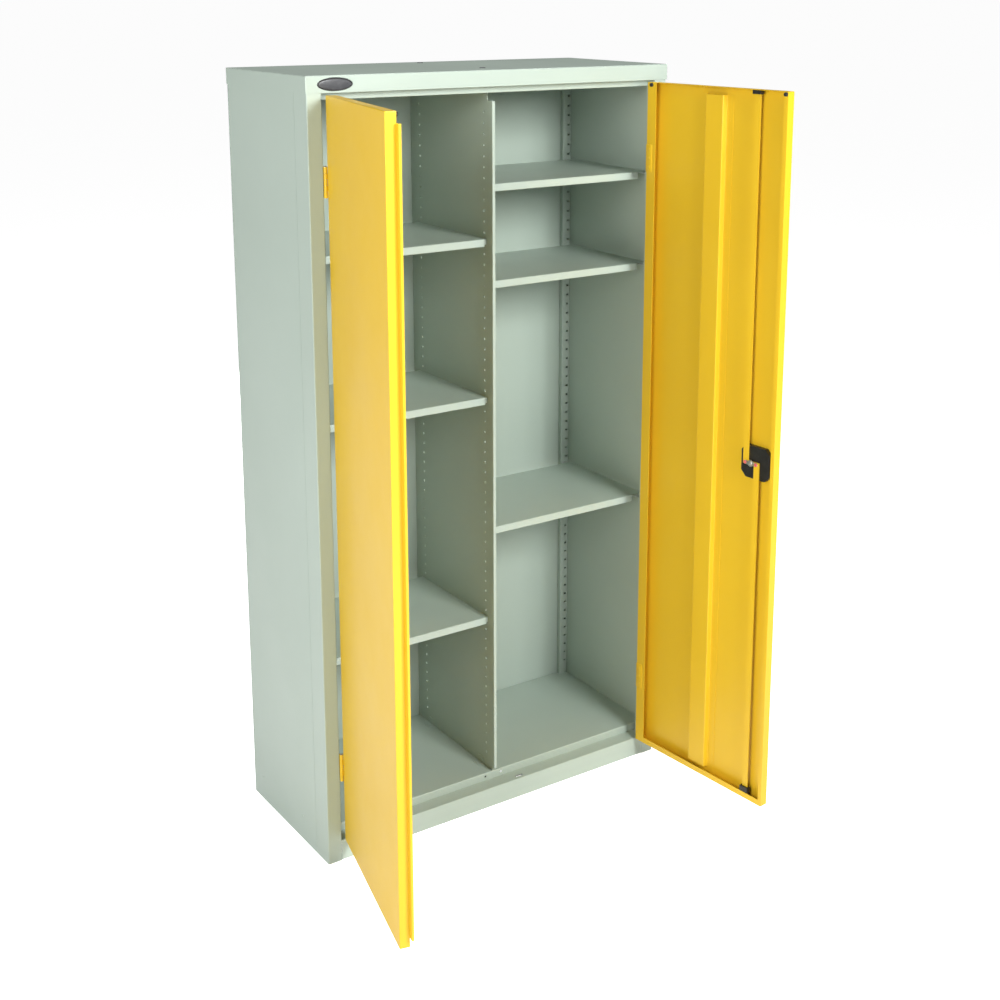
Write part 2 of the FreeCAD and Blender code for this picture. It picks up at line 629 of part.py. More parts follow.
# ---- build every sub-part ----------------------------------------------------
save("top_cap", top_cap())
save("cap_plugs", cap_plugs())
save("post_left", front_post())
save("post_right", mirrored(front_post()))
save("side_left", side_panel())
save("side_right", mirrored(side_panel()))
save("seam_strips", Part.makeCompound([seam_strip(), mirrored(seam_strip())]))
save("back_panel", back_panel())
save("back_rivets", back_rivets())
save("header_rail", header_rail())
save("plinth", plinth())
save("floor_tray", floor_tray())
save("floor_channel", floor_channel())
save("rod_keeps", rod_keeps())
save("partition", partition())
save("partition_feet", partition_feet())
for side, heights in SHELVES.items():
    for i, z in enumerate(heights):
        save("shelf_%s_%d" % (side, i + 1), shelf(side, z))
ALL_SHELVES = [(side, z) for side in SHELVES for z in SHELVES[side]]
save("clips_partition", Part.makeCompound(
    [clip_partition(side, y, z) for side, z in ALL_SHELVES for y in COLUMN_Y]))
save("clips_post", Part.makeCompound([clip_post(side, z) for side, z in ALL_SHELVES]))
save("clips_rear", Part.makeCompound([clip_rear(side, z) for side, z in ALL_SHELVES]))
save("hinge_pins", hinge_pins())
for side in ("left", "right"):
    save("hinge_post_" + side, hinge_fixed(side))
    save("hinge_door_" + side, hinge_moving(side))
    save("door_" + side, swing(door_pan(side), side))
    save("stiffener_" + side, swing(stiffener(side), side))
    save("buffers_" + side, swing(buffers(side), side))
save("astragal", swing(astragal(), "left"))
save("lock_housing", swing(lock_housing(), "right"))
save("lock_screws", swing(lock_screws(), "right"))
save("handle_grip", swing(handle_grip(), "right"))
save("key_barrel", swing(key_barrel(), "right"))
save("cam", swing(cam(), "right"))
save("cam_nut", swing(cam_nut(), "right"))
save("cam_pins", swing(cam_pins(), "right"))
save("rod_guides", swing(rod_guides(), "right"))
save("rod_upper", swing(lock_rod(True), "right"))
save("rod_lower", swing(lock_rod(False), "right"))
save("badge_rim", badge_rim())
save("badge_field", badge_field())
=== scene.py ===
"""Steel two-door storage cupboard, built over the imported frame. Metres; the front faces -Y."""
import json
import math

import bmesh
import bpy
from mathutils import Matrix, Vector


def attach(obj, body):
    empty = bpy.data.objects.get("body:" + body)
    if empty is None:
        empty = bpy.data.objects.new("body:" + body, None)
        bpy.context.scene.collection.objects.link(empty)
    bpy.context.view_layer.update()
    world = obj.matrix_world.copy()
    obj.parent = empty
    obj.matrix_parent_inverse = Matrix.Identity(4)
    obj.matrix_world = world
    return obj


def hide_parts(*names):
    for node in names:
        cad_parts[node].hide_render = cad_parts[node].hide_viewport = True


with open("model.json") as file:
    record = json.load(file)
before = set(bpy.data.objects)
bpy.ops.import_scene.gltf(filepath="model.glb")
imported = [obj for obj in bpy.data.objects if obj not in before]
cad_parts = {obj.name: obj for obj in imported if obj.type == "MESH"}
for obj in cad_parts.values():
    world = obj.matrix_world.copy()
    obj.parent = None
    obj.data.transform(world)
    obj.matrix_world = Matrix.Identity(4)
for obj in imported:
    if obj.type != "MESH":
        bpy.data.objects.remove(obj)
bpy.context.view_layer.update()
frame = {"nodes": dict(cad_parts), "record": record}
NODES = frame["nodes"]
SCENE = bpy.context.scene

# ---- dimensions shared with the CAD model, in metres ---------------------------
FRONT, BACK, SIDE = -0.1975, 0.1975, 0.4725
PIVOT_X, PIVOT_Y = 0.4355, -0.201
OPEN_DEG = {"left": -103.0, "right": 95.0}
HINGE_Z = (0.233, 1.561)
KNUCKLE, KNUCKLE_R = 0.013, 0.004
DOOR_DEPTH = {"left": 0.022, "right": 0.021}
DOOR_Z = (0.053, 1.740)
STIFF_X, STIFF_W = 0.225, 0.031
LOCK_X, LOCK_Z, CRANK = 0.076, 0.889, 0.0165
HOUSE_X, HOUSE_Z = (0.023, 0.109), (0.852, 0.930)
DISH_Y, HOUSE_Y = FRONT + 0.009, FRONT + 0.011
CAM_Y, CAM_T = HOUSE_Y + 0.0039, 0.002
CAM_PIN_Y = -0.1854          # front end of the cam's pins
POST_LEAF, DOOR_LEAF = (0.4365, 0.4379), (0.4331, 0.4345)  # hinge leaves, across X
WRAP_LEAF, LEAF_T = (0.4150, 0.4343), 0.0012  # the door leaf's turn onto the inner lip
LEAF_SCREW_X, LEAF_SCREW_Z = 0.4235, (0.012, 0.0325, 0.053)
BUFFER_X, BUFFER_END_Y = (0.419, 0.0065), -0.1715
RIVETS, RIVET_Z0, RIVET_PITCH, RIVET_INSET = 8, 0.060, 0.236, 0.020
WELDS, WELD_Z0, WELD_PITCH = 13, 0.130, 0.128
CAP_TOP, CAP_FRONT, PLUG_Y = 1.78, -0.2, (0.150, -0.125)
BADGE = (-0.408, 1.7615)
TAU = 2 * math.pi
SHARP_EDGE = math.radians(38)

# ---- stage: surround and floor, lamps, camera ------------------------------------
BACKDROP, FLOOR_SEEN = 1.0, 0.90     # brightness to the camera
AMBIENT, FLOOR_GLOW = 0.08, 0.30     # and as light on the object
FLOOR_RADIUS = 400.0
LAMPS = (                    # name, place, target, side of the square, power in W
    ("key_left", (-3.4, -1.9, 2.1), (0.0, -0.3, 0.9), 2.0, 116.0),
    ("front", (0.3, -3.7, 2.65), (0.0, 0.0, 1.1), 1.2, 172.0),
    ("overhead", (0.3, 0.6, 4.6), (0.0, 0.0, 1.7), 1.6, 56.0),
    ("behind", (1.2, 4.2, 0.95), (0.0, 0.2, 0.9), 1.4, 70.0),
)
CAMERA_AT = (-1.8402, -2.9862, 1.9531)
AZIMUTH, DOWN, ROLL = math.radians(34.565), math.radians(12.453), math.radians(0.137)
LENS_MM, SENSOR_MM, SHIFT = 53.96, 36.0, (-0.03, -0.18)


# ---- node-built materials ------------------------------------------------------
class Nodes:
    """Shorthand for building one material's node tree."""

    def __init__(self, name):
        self.mat = bpy.data.materials.new(name)
        self.mat.use_nodes = True
        self.tree = self.mat.node_tree
        self.shader = self.tree.nodes["Principled BSDF"]
        self.coord = self.add("ShaderNodeTexCoord").outputs["Object"]

    def add(self, kind, **settings):
        node = self.tree.nodes.new(kind)
        for key, value in settings.items():
            setattr(node, key, value)
        return node

    def link(self, a, b):
        self.tree.links.new(a, b)

    def noise(self, scale, detail=3.0, rough=0.5, stretch=None):
        node = self.add("ShaderNodeTexNoise")
        node.inputs["Scale"].default_value = scale
        node.inputs["Detail"].default_value = detail
        node.inputs["Roughness"].default_value = rough
        source = self.coord
        if stretch:
            mapping = self.add("ShaderNodeMapping")
            mapping.inputs["Scale"].default_value = stretch
            self.link(self.coord, mapping.inputs["Vector"])
            source = mapping.outputs["Vector"]
        self.link(source, node.inputs["Vector"])
        return node.outputs["Fac"]

    def span(self, value, a, b, low, high):
        node = self.add("ShaderNodeMapRange")
        for key, number in zip(("From Min", "From Max", "To Min", "To Max"), (a, b, low, high)):
            node.inputs[key].default_value = number
        self.link(value, node.inputs["Value"])
        return node.outputs["Result"]

    def mix(self, fac, a, b):
        node = self.add("ShaderNodeMix", data_type="RGBA")
        self.link(fac, node.inputs["Factor"])
        for value, socket in ((a, node.inputs["A"]), (b, node.inputs["B"])):
            if isinstance(value, tuple):
                socket.default_value = (*value, 1.0)
            else:
                self.link(value, socket)
        return node.outputs["Result"]

    def bump(self, height, strength, distance, under=None):
        node = self.add("ShaderNodeBump")
        node.inputs["Strength"].default_value = strength
        node.inputs["Distance"].default_value = distance
        self.link(height, node.inputs["Height"])
        if under:
            self.link(under, node.inputs["Normal"])
        return node.outputs["Normal"]

    def set(self, **values):
        for key, value in values.items():
            self.shader.inputs[key.replace("_", " ")].default_value = value

    def finish(self, colour, rough, normal=None):
        self.link(colour, self.shader.inputs["Base Color"])
        self.link(rough, self.shader.inputs["Roughness"])
        if normal:
            self.link(normal, self.shader.inputs["Normal"])
        return self.mat


def powder_coat(name, main, deep, light, rough):
    """Semi-gloss powder coat: faint clouding, orange peel and a fine speckle."""
    n = Nodes(name)
    cloud = n.span(n.noise(2.3, 4.0), 0.35, 0.65, 0.0, 1.0)
    tone = n.mix(cloud, main, deep)
    speck = n.span(n.noise(1900.0, 2.0), 0.62, 0.75, 0.0, 0.35)
    colour = n.mix(speck, tone, light)
    gloss = n.span(n.noise(5.0, 5.0, 0.6), 0.3, 0.7, rough - 0.04, rough + 0.06)
    peel = n.bump(n.noise(420.0, 2.0, 0.4), 0.10, 0.0004)
    grain = n.bump(n.noise(2600.0, 2.0), 0.06, 0.0001, peel)
    n.set(Coat_Weight=0.08, Coat_Roughness=0.20, Specular_IOR_Level=0.38, IOR=1.5)
    return n.finish(colour, gloss, grain)


def plated(name, main, deep, rough, stretch):
    """Bright metal with a drawn grain, blotched like zinc plate."""
    n = Nodes(name)
    blotch = n.span(n.noise(160.0, 4.0, 0.6), 0.35, 0.65, 0.0, 1.0)
    colour = n.mix(blotch, main, deep)
    line = n.noise(900.0, 3.0, 0.6, stretch)
    gloss = n.span(line, 0.3, 0.7, rough - 0.06, rough + 0.10)
    n.set(Metallic=1.0, Anisotropic=0.3)
    return n.finish(colour, gloss, n.bump(line, 0.18, 0.0001))


def moulded(name, main, light, rough, grain=0.25):
    """Moulded plastic or rubber with a spark-eroded grain."""
    n = Nodes(name)
    wear = n.span(n.noise(60.0, 5.0, 0.6), 0.45, 0.7, 0.0, 0.6)
    colour = n.mix(wear, main, light)
    cell = n.noise(2200.0, 3.0, 0.6)
    gloss = n.span(n.noise(220.0, 3.0), 0.3, 0.7, rough - 0.07, rough + 0.09)
    n.set(Specular_IOR_Level=0.45)
    return n.finish(colour, gloss, n.bump(cell, grain, 0.00015))


BODY = powder_coat("body_paint", (0.413, 0.490, 0.430), (0.391, 0.466, 0.407),
                   (0.50, 0.57, 0.515), 0.36)
DOOR = powder_coat("door_paint", (0.740, 0.480, 0.020), (0.715, 0.455, 0.018),
                   (0.80, 0.55, 0.05), 0.34)
STEEL = plated("bright_steel", (0.66, 0.66, 0.65), (0.54, 0.54, 0.54), 0.26, (1.0, 1.0, 14.0))
ZINC = plated("zinc_steel", (0.70, 0.71, 0.70), (0.56, 0.58, 0.58), 0.30, (14.0, 1.0, 1.0))
BLACK = moulded("black_plastic", (0.012, 0.012, 0.013), (0.026, 0.026, 0.027), 0.38)
DARK = moulded("dark_plastic", (0.045, 0.047, 0.052), (0.085, 0.088, 0.094), 0.34)
RED = moulded("red_plastic", (0.62, 0.10, 0.10), (0.70, 0.20, 0.18), 0.36, 0.12)
RUBBER = moulded("rubber", (0.016, 0.016, 0.016), (0.035, 0.035, 0.034), 0.62)
SLOTS = {"body_paint": BODY, "door_paint": DOOR, "bright_steel": STEEL, "zinc_steel": ZINC,
         "black_plastic": BLACK, "dark_plastic": DARK, "red_plastic": RED, "rubber": RUBBER}


def dress(obj, material):
    obj.data.materials.clear()
    obj.data.materials.append(material)
    return obj


for part in frame["record"]["subparts"]:
    dress(NODES[part["node"]], SLOTS[part["material_slot"]])


# ---- mesh helpers ----------------------------------------------------------------
def circle(radius, count=32, cx=0.0, cz=0.0, start=0.0):
    angles = [start + TAU * i / count for i in range(count)]
    return [(cx + radius * math.cos(t), cz + radius * math.sin(t)) for t in angles]


def rounded(points, radius, steps=4):
    """Polygon outline (counter-clockwise) with every corner replaced by an arc."""
    out = []
    count = len(points)
    for i in range(count):
        p = Vector(points[i])
        a = (Vector(points[i - 1]) - p)
        b = (Vector(points[(i + 1) % count]) - p)
        half = a.angle(b) / 2
        reach = min(radius / math.tan(half), a.length * 0.45, b.length * 0.45)
        r = reach * math.tan(half)
        centre = p + (a.normalized() + b.normalized()).normalized() * (r / math.sin(half))
        q0, q1 = p + a.normalized() * reach, p + b.normalized() * reach
        t0 = math.atan2(*(q0 - centre).yx)
        turn = (math.atan2(*(q1 - centre).yx) - t0 + math.pi) % TAU - math.pi
        for k in range(steps + 1):
            t = t0 + turn * k / steps
            out.append((centre.x + r * math.cos(t), centre.y + r * math.sin(t)))
    return out


def chamfered(x0, x1, z0, z1, c):
    return [(x0 + c, z0), (x1 - c, z0), (x1, z0 + c), (x1, z1 - c),
            (x1 - c, z1), (x0 + c, z1), (x0, z1 - c), (x0, z0 + c)]


def inset(points, d):
    """Outline moved inwards by d; outwards when d is negative."""
    out = []
    count = len(points)
    for i in range(count):
        p = Vector(points[i])
        a = (p - Vector(points[i - 1])).normalized()
        b = (Vector(points[(i + 1) % count]) - p).normalized()
        n = Vector((-a.y - b.y, a.x + b.x))
        n.normalize()
        k = d / max(0.3, n.dot(Vector((-a.y, a.x))))
        out.append((p.x + n.x * k, p.y + n.y * k))
    return out


def new_object(name, bm, smooth=True):
    bmesh.ops.remove_doubles(bm, verts=bm.verts, dist=1e-7)
    bmesh.ops.recalc_face_normals(bm, faces=bm.faces)
    for face in bm.faces:
        face.smooth = smooth
    for edge in bm.edges:
        if len(edge.link_faces) == 2 and edge.calc_face_angle(0.0) > SHARP_EDGE:
            edge.smooth = False
    mesh = bpy.data.meshes.new(name)
    bm.to_mesh(mesh)
    bm.free()
    obj = bpy.data.objects.new(name, mesh)
    SCENE.collection.objects.link(obj)
    return obj


def loft(bm, loops, cap_start=True, cap_end=True):
    """Skin through loops of (x, y, z) points, all with the same count."""
    rings = [[bm.verts.new(p) for p in loop] for loop in loops]
    for a, b in zip(rings, rings[1:]):
        for i in range(len(a)):
            j = (i + 1) % len(a)
            bm.faces.new((a[i], a[j], b[j], b[i]))
    if cap_start:
        bm.faces.new(rings[0][::-1])
    if cap_end:
        bm.faces.new(rings[-1])
    return rings


def at_y(points, y):
    return [(x, y, z) for x, z in points]


def prism_y(bm, outline, y0, y1, soft=0.0004):
    """Plate across Y with rounded edges."""
    small = inset(outline, soft)
    mid = inset(outline, soft * 0.3)
    loft(bm, [at_y(small, y0), at_y(mid, y0 + soft * 0.3), at_y(outline, y0 + soft),
              at_y(outline, y1 - soft), at_y(mid, y1 - soft * 0.3), at_y(small, y1)])


def turned_y(bm, cx, cz, profile, count=32, cap=True):
    """Turned piece with its axis along Y; profile is a list of (radius, y)."""
    loft(bm, [at_y(circle(r, count, cx, cz), y) for r, y in profile], cap, cap)


def turned_z(bm, cx, cy, profile, count=32):
    loops = [[(cx + r * math.cos(TAU * i / count), cy + r * math.sin(TAU * i / count), z)
              for i in range(count)] for r, z in profile]
    loft(bm, loops)


def soft_box(bm, x0, x1, y0, y1, z0, z1, r=0.0005):
    """Box with rounded edges."""
    made = bmesh.ops.create_cube(bm, size=1.0)["verts"]
    for v in made:
        v.co = Vector((x0 + (v.co.x + 0.5) * (x1 - x0), y0 + (v.co.y + 0.5) * (y1 - y0),
                       z0 + (v.co.z + 0.5) * (z1 - z0)))
    edges = {e for v in made for e in v.link_edges}
    bmesh.ops.bevel(bm, geom=list(edges), offset=r, segments=2, profile=0.5, affect="EDGES")


def swing(obj, side):
    """Carry a piece drawn on the closed door to the stored, open position."""
    x = -PIVOT_X if side == "left" else PIVOT_X
    pivot = Vector((x, PIVOT_Y, 0.0))
    turn = Matrix.Rotation(math.radians(OPEN_DEG[side]), 4, "Z")
    obj.data.transform(Matrix.Translation(pivot) @ turn @ Matrix.Translation(-pivot))
    return obj


def piece(name, bm, slot, body, nodes=(), side=None):
    """Finish a mesh piece: place, material, body, slot and the nodes it stands for."""
    obj = new_object(name, bm)
    if side:
        swing(obj, side)
    dress(obj, SLOTS[slot])
    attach(obj, body)
    if nodes:
        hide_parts(*nodes)
    return obj


# ---- lock ------------------------------------------------------------------------
def lock_bezel():
    """Finger-recess housing: rolled flange outside, ribbed tub with a boss inside."""
    cx, cz = sum(HOUSE_X) / 2, sum(HOUSE_Z) / 2
    rim = rounded(chamfered(HOUSE_X[0] - 0.008, HOUSE_X[1] + 0.008,
                            HOUSE_Z[0] - 0.008, HOUSE_Z[1] + 0.008, 0.017), 0.005)
    tub = rounded(chamfered(*HOUSE_X, *HOUSE_Z, 0.014), 0.004)
    bore = [(LOCK_X + 0.00605 * (x - cx) / math.hypot(x - cx, z - cz),
             LOCK_Z + 0.00605 * (z - cz) / math.hypot(x - cx, z - cz)) for x, z in tub]
    boss = [(LOCK_X + 0.0090 * (x - LOCK_X) / 0.00605, LOCK_Z + 0.0090 * (z - LOCK_Z) / 0.00605)
            for x, z in bore]
    dish = inset(tub, 0.0025)
    bm = bmesh.new()
    loops = [at_y(bore, HOUSE_Y + 0.0006), at_y(boss, HOUSE_Y + 0.0006), at_y(boss, HOUSE_Y),
             at_y(inset(tub, 0.0042), HOUSE_Y), at_y(inset(tub, 0.0036), HOUSE_Y - 0.0006),
             at_y(inset(tub, 0.0022), HOUSE_Y - 0.0006), at_y(inset(tub, 0.0016), HOUSE_Y),
             at_y(inset(tub, 0.0005), HOUSE_Y), at_y(tub, HOUSE_Y - 0.0005),
             at_y(tub, FRONT), at_y(rim, FRONT), at_y(rim, FRONT - 0.0008),
             at_y(inset(rim, 0.0004), FRONT - 0.0016), at_y(inset(rim, 0.0013), FRONT - 0.0020),
             at_y(inset(dish, -0.0014), FRONT - 0.0020), at_y(inset(dish, -0.0004), FRONT - 0.0015),
             at_y(dish, FRONT - 0.0004), at_y(inset(dish, 0.0010), DISH_Y - 0.0025),
             at_y(inset(dish, 0.0017), DISH_Y - 0.0008), at_y(inset(dish, 0.0032), DISH_Y),
             at_y([(LOCK_X + (x - LOCK_X) * 1.02, LOCK_Z + (z - LOCK_Z) * 1.02)
                   for x, z in bore], DISH_Y)]
    rings = loft(bm, loops, False, False)
    for i in range(len(bore)):
        j = (i + 1) % len(bore)
        bm.faces.new((rings[-1][i], rings[-1][j], rings[0][j], rings[0][i]))
    piece("lock_bezel", bm, "black_plastic", "right_door", ("lock_housing",), "right")


def with_recess(bm, cx, cz, radius, y, hole, depth, flip=1.0):
    """Flat round face with a recess of the given outline, looking towards -Y."""
    outer = []
    for x, z in hole:
        t = math.atan2(z, x)
        outer.append((cx + radius * math.cos(t), cz + radius * math.sin(t)))
    inner = [(cx + x, cz + z) for x, z in hole]
    low = [(cx + x * 0.9, cz + z * 0.9) for x, z in hole]
    loft(bm, [at_y(outer, y), at_y(inner, y), at_y(low, y + depth * flip)], False, True)
    return outer


def cross_outline(a, b):
    """Plus-shaped outline, arm length a and half width b, with points by angle."""
    quarter = [(a, -b), (a, 0.0), (a, b), ((a + b) / 2, b), (b, b), (b, (a + b) / 2)]
    out = []
    for k in range(4):
        c, s = (1, 0, -1, 0)[k], (0, 1, 0, -1)[k]
        out += [(x * c - z * s, x * s + z * c) for x, z in quarter]
    return out


def lock_screw_heads():
    bm = bmesh.new()
    for x in (HOUSE_X[0] - 0.0025, HOUSE_X[1] + 0.0025):
        z, y = LOCK_Z + 0.002, FRONT - 0.002
        ring = with_recess(bm, x, z, 0.0022, y - 0.0012, cross_outline(0.0017, 0.00035), 0.0009)
        angles = [math.atan2(q - z, p - x) for p, q in ring]

        def around(r, yy):
            return [(x + r * math.cos(t), yy, z + r * math.sin(t)) for t in angles]

        loft(bm, [around(0.0022, y - 0.0012), around(0.0027, y - 0.0009),
                  around(0.0030, y - 0.0004), around(0.0030, y)], False, True)
    piece("lock_screw_heads", bm, "bright_steel", "right_door", ("lock_screws",), "right")


def tee_handle():
    """T-handle with a crowned bar, a stepped hub and the spindle behind it."""
    y0, y1 = FRONT - 0.008, FRONT + 0.003
    bm = bmesh.new()
    bar = []
    for s in (1, -1):
        for k in range(13):
            t = -math.pi / 2 + math.pi * k / 12
            bar.append((LOCK_X + s * (0.020 + 0.0065 * math.cos(t)),
                        LOCK_Z + s * 0.0065 * math.sin(t)))
    loft(bm, [at_y(inset(bar, 0.0030), y0 + 0.0001), at_y(inset(bar, 0.0014), y0 + 0.0005),
              at_y(inset(bar, 0.0005), y0 + 0.0014), at_y(bar, y0 + 0.0028), at_y(bar, y1 - 0.0012),
              at_y(inset(bar, 0.0004), y1 - 0.0003), at_y(inset(bar, 0.0012), y1)])
    turned_y(bm, LOCK_X, LOCK_Z, [
        (0.00755, y0 + 0.0095), (0.00755, y0 + 0.0004), (0.0080, y0), (0.0114, y0),
        (0.0124, y0 + 0.0005), (0.0130, y0 + 0.0016), (0.0130, y0 + 0.0050),
        (0.0127, y0 + 0.0054), (0.0127, y0 + 0.0062), (0.0130, y0 + 0.0066),
        (0.0130, DISH_Y - 0.0009), (0.0126, DISH_Y - 0.0005), (0.0060, DISH_Y - 0.0005),
        (0.0060, HOUSE_Y + 0.0006), (0.0030, HOUSE_Y + 0.0006), (0.0030, CAM_Y)], 48)
    piece("tee_handle", bm, "black_plastic", "handle", ("handle_grip",), "right")


def barrel():
    """Lock cylinder face with a blank keyway."""
    y0 = FRONT - 0.0086
    bm = bmesh.new()
    hole = [(0.0006, -0.0038), (0.0006, -0.0019), (0.0006, 0.0), (0.0006, 0.0019), (0.0006, 0.0038),
            (0.0, 0.0038), (-0.0006, 0.0038), (-0.0006, 0.0019), (-0.0006, 0.0), (-0.0006, -0.0019),
            (-0.0006, -0.0038), (0.0, -0.0038)]
    fine = []
    for i in range(len(hole)):
        (a, b), (c, d) = hole[i], hole[(i + 1) % len(hole)]
        fine += [(a + (c - a) * k / 3, b + (d - b) * k / 3) for k in range(3)]
    angles = [math.atan2(z, x) for x, z in fine]

    def around(r, y):
        return [(LOCK_X + r * math.cos(t), y, LOCK_Z + r * math.sin(t)) for t in angles]

    slot_in = [(LOCK_X + x, y0 + 0.0055, LOCK_Z + z) for x, z in fine]
    slot_out = [(LOCK_X + x, y0 + 0.0003, LOCK_Z + z) for x, z in fine]
    loft(bm, [slot_in, slot_out, around(0.0052, y0 + 0.0003), around(0.0055, y0),
              around(0.0070, y0), around(0.0075, y0 + 0.0005), around(0.0075, y0 + 0.0106)])
    piece("barrel_face", bm, "bright_steel", "key_barrel", ("key_barrel",), "right")


def cam_outline():
    """Hub with two arms, as one outline."""
    out = []
    reach = math.asin(0.0045 / 0.008)
    for s in (1, -1):
        for k in range(9):
            t = -math.pi / 2 + math.pi * k / 8
            out.append((s * (CRANK + 0.0045 * math.cos(t)), s * 0.0045 * math.sin(t)))
        for k in range(9):
            t = reach + (math.pi - 2 * reach) * k / 8
            out.append((s * 0.008 * math.cos(t), s * 0.008 * math.sin(t)))
    return [(LOCK_X + x, LOCK_Z + z) for x, z in out]


def cam_set():
    """Pressed cam with its pins, the fixing nut with washer and stud, and the pin heads."""
    bm = bmesh.new()
    prism_y(bm, cam_outline(), CAM_Y, CAM_Y + CAM_T, 0.0003)
    for s in (-1, 1):
        turned_y(bm, LOCK_X + s * CRANK, LOCK_Z,
                 [(0.0017, CAM_PIN_Y), (0.0020, CAM_PIN_Y + 0.0003), (0.0020, CAM_Y + 0.0004)], 24)
    piece("cam_plate", bm, "zinc_steel", "handle", ("cam",), "right")
    bm = bmesh.new()
    y = CAM_Y + CAM_T
    turned_y(bm, LOCK_X, LOCK_Z, [(0.0058, y), (0.0062, y + 0.0001), (0.0062, y + 0.0004),
                                  (0.0058, y + 0.0005)], 36)
    six = circle(0.0052, 6, LOCK_X, LOCK_Z)
    prism_y(bm, rounded(six, 0.0004, 2), y + 0.0005, y + 0.0024, 0.0002)
    turned_y(bm, LOCK_X, LOCK_Z,
             [(0.0024, y + 0.0024), (0.0024, y + 0.0028), (0.0020, y + 0.0031)], 24)
    piece("cam_nut_set", bm, "zinc_steel", "handle", ("cam_nut",), "right")
    bm = bmesh.new()
    for s in (-1, 1):
        turned_y(bm, LOCK_X + s * CRANK, LOCK_Z, [
            (0.0042, y), (0.0042, y + 0.0006), (0.0039, y + 0.0011), (0.0032, y + 0.0013),
            (0.0014, y + 0.00135), (0.0011, y + 0.0010)], 36)
    piece("cam_pin_heads", bm, "red_plastic", "handle", ("cam_pins",), "right")


# ---- hinges ------------------------------------------------------------------------
def knuckle(bm, x, z0, z1):
    r, b = KNUCKLE_R, 0.0004
    turned_z(bm, x, PIVOT_Y, [(r - b, z0), (r, z0 + b), (r, z1 - b), (r - b, z1)], 32)


def hinges(side):
    """Five-knuckle butt hinges: the leaf on the post and the leaf wrapped on the door."""
    s = -1 if side == "left" else 1
    gap = 0.0002
    fixed, moving, pins = bmesh.new(), bmesh.new(), bmesh.new()
    for zc in HINGE_Z:
        z0 = zc - 2.5 * KNUCKLE
        z5 = z0 + 5 * KNUCKLE

        def span_x(a, b):
            return (min(s * a, s * b), max(s * a, s * b))

        soft_box(fixed, *span_x(*POST_LEAF), FRONT + 0.0010, FRONT + 0.022, z0, z5, 0.0004)
        back = FRONT + DOOR_DEPTH[side]
        soft_box(moving, *span_x(*DOOR_LEAF), FRONT + 0.0010, back + LEAF_T, z0, z5, 0.0004)
        soft_box(moving, *span_x(*WRAP_LEAF), back, back + LEAF_T, z0, z5, 0.0004)
        for i in range(5):
            a = z0 + i * KNUCKLE + (0.0 if i == 0 else gap)
            b = z0 + (i + 1) * KNUCKLE - (0.0 if i == 4 else gap)
            into = fixed if i % 2 == 0 else moving
            knuckle(into, s * PIVOT_X, a, b)
            wing = span_x(*(POST_LEAF if i % 2 == 0 else DOOR_LEAF))
            soft_box(into, *wing, PIVOT_Y, FRONT + 0.0020, a, b, 0.0003)
        for dz in LEAF_SCREW_Z:
            turned_y(moving, s * LEAF_SCREW_X, z0 + dz,
                     [(0.0030, back + 0.0011), (0.0030, back + 0.0013), (0.0024, back + 0.0019),
                      (0.0012, back + 0.0021)], 24)
        turned_z(pins, s * PIVOT_X, PIVOT_Y, [
            (0.0016, z0 - 0.0005), (0.0020, z0 - 0.0002), (0.0020, z5 - 0.001), (0.0020, z5),
            (0.0032, z5), (0.0032, z5 + 0.0007), (0.0027, z5 + 0.0013), (0.0016, z5 + 0.0016)], 28)
    piece("hinge_leaf_post_" + side, fixed, "door_paint", "cabinet", ("hinge_post_" + side,))
    piece("hinge_leaf_door_" + side, moving, "door_paint", side + "_door",
          ("hinge_door_" + side,), side)
    return pins


def pins_piece():
    meshes = [hinges(side) for side in ("left", "right")]
    whole = bmesh.new()
    for bm in meshes:
        scratch = bpy.data.meshes.new("scratch")
        bm.to_mesh(scratch)
        bm.free()
        whole.from_mesh(scratch)
        bpy.data.meshes.remove(scratch)
    piece("hinge_pin_set", whole, "bright_steel", "cabinet", ("hinge_pins",))


# ---- small trim ----------------------------------------------------------------------
def ellipse(a, b, count=72):
    return [(BADGE[0] + a * math.cos(TAU * i / count), BADGE[1] + b * math.sin(TAU * i / count))
            for i in range(count)]


def badge():
    """Blank oval badge: rolled black rim round a slightly domed dark field."""
    y = CAP_FRONT
    bm = bmesh.new()
    rings = [(0.0410, 0.0140, y), (0.0410, 0.0140, y - 0.0006), (0.0405, 0.0135, y - 0.0011),
             (0.0396, 0.0127, y - 0.0013), (0.0386, 0.0118, y - 0.0012),
             (0.0379, 0.0112, y - 0.0009), (0.0375, 0.0108, y - 0.0004)]
    loft(bm, [at_y(ellipse(a, b), yy) for a, b, yy in rings], True, True)
    piece("badge_ring", bm, "black_plastic", "cabinet", ("badge_rim",))
    bm = bmesh.new()
    dome = ((1.0, 0.00045), (0.93, 0.00072), (0.80, 0.00095), (0.60, 0.00112),
            (0.35, 0.00122), (0.12, 0.00126))
    loft(bm, [at_y(ellipse(0.0374 * k, 0.0107 * k), y - h) for k, h in dome])
    piece("badge_face", bm, "dark_plastic", "cabinet", ("badge_field",))


def cap_buttons():
    bm = bmesh.new()
    z = CAP_TOP
    for y in PLUG_Y:
        turned_z(bm, 0.0, y, [(0.0040, z - 0.004), (0.0040, z), (0.0070, z), (0.0070, z + 0.0004),
                              (0.0064, z + 0.0011), (0.0048, z + 0.0015), (0.0022, z + 0.0016)], 36)
    piece("cap_buttons", bm, "dark_plastic", "cabinet", ("cap_plugs",))


